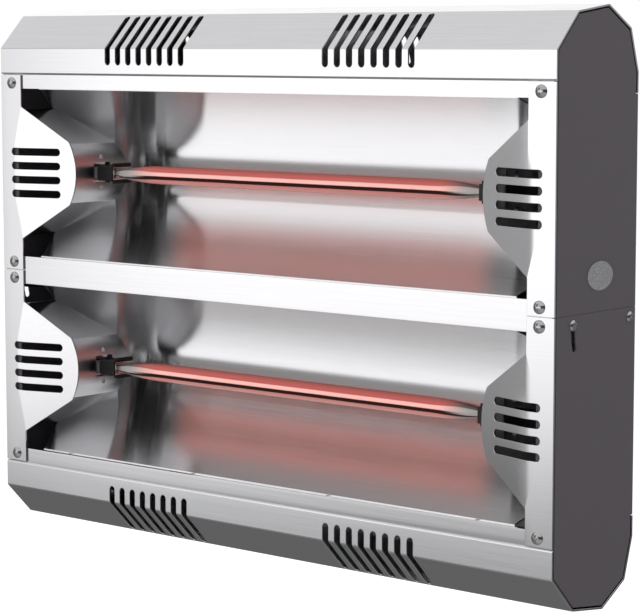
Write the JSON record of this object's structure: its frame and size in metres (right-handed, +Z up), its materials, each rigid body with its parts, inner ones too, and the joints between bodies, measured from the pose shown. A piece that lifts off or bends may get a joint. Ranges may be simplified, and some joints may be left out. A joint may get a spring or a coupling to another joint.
{
  "type": "infrared heater",
  "caption": "Wall-mounted twin-lamp infrared heater with folded metal hoods, slotted lamp guards, trough reflectors and a tilting bracket.",
  "frame": {"origin": "on the wall plane, at the middle of the four wall holes, level with the tilt pivots", "axes": "+Z up, the heater faces -Y, the wall is at +Y, +X to the right seen from the front"},
  "size_m": [0.453, 0.125, 0.344],
  "materials": {
    "hood_metal": "fine horizontal brushing, satin",
    "front_metal": "fine brushing, bright satin",
    "panel_metal": "zinc-coated sheet, dull",
    "cover_paint": "dark grey powder coat, fine texture, satin",
    "badge_paint": "light grey speckled disc, blank",
    "reflector_metal": "semi-bright rolled aluminium",
    "end_reflector_metal": "bright rolled aluminium",
    "lamp_glass": "clear fused quartz, lit from inside",
    "filament_wire": "glowing tungsten coil",
    "holder_ceramic": "black glazed ceramic",
    "clip_metal": "bright spring steel",
    "strap_metal": "plain steel strip",
    "rivet_metal": "blind rivet, satin",
    "screw_metal": "zinc-plated screw, bright",
    "wire_sleeve": "heat-resistant sleeve, matt",
    "terminal_ceramic": "white steatite",
    "terminal_brass": "plain brass",
    "gland_plastic": "black moulded nylon",
    "bracket_paint": "dark grey powder coat, satin"
  },
  "bodies": {
    "wall_mount": {"tilt_bracket": "bracket_paint", "arm_nuts": "screw_metal", "pivot_screws": "screw_metal", "clamp_screws": "screw_metal", "wall_bracket": "bracket_paint", "bracket_bolts": "screw_metal", "bracket_nuts": "screw_metal"},
    "housing": {"top_hood": "hood_metal", "bottom_hood": "hood_metal", "rear_panel": "panel_metal", "upper_left_end_cover": "cover_paint", "upper_left_stile": "front_metal", "upper_left_end_reflector": "end_reflector_metal", "upper_left_lamp_holder": "holder_ceramic", "upper_left_lamp_clip": "clip_metal", "upper_left_holder_bracket": "strap_metal", "upper_left_lamp_wire": "wire_sleeve", "upper_right_end_cover": "cover_paint", "upper_right_stile": "front_metal", "upper_right_end_reflector": "end_reflector_metal", "upper_right_lamp_holder": "holder_ceramic", "upper_right_lamp_clip": "clip_metal", "upper_right_holder_bracket": "strap_metal", "upper_right_lamp_wire": "wire_sleeve", "lower_left_end_cover": "cover_paint", "lower_left_stile": "front_metal", "lower_left_end_reflector": "end_reflector_metal", "lower_left_lamp_holder": "holder_ceramic", "lower_left_lamp_clip": "clip_metal", "lower_left_holder_bracket": "strap_metal", "lower_left_lamp_wire": "wire_sleeve", "lower_right_end_cover": "cover_paint", "lower_right_stile": "front_metal", "lower_right_end_reflector": "end_reflector_metal", "lower_right_lamp_holder": "holder_ceramic", "lower_right_lamp_clip": "clip_metal", "lower_right_holder_bracket": "strap_metal", "lower_right_lamp_wire": "wire_sleeve", "end_badge": "badge_paint", "top_rail": "front_metal", "middle_rail": "front_metal", "bottom_rail": "front_metal", "upper_reflector": "reflector_metal", "upper_lamp_tube": "lamp_glass", "upper_filament": "filament_wire", "lower_reflector": "reflector_metal", "lower_lamp_tube": "lamp_glass", "lower_filament": "filament_wire", "holder_rivets": "rivet_metal", "terminal_block": "terminal_ceramic", "terminal_screws": "terminal_brass", "cable_gland_body": "gland_plastic", "cable_gland_cap": "gland_plastic", "cable_gland_lock_nut": "gland_plastic", "frame_screws": "screw_metal", "rail_rivets": "rivet_metal", "rear_rivets": "rivet_metal"}
  },
  "joints": [
    {"name": "tilt", "type": "hinge", "parent": "wall_mount", "child": "housing", "pos_m": [0, -0.0477, 0], "axis": [-1, 0, 0], "range_deg": [0, 13]}
  ]
}
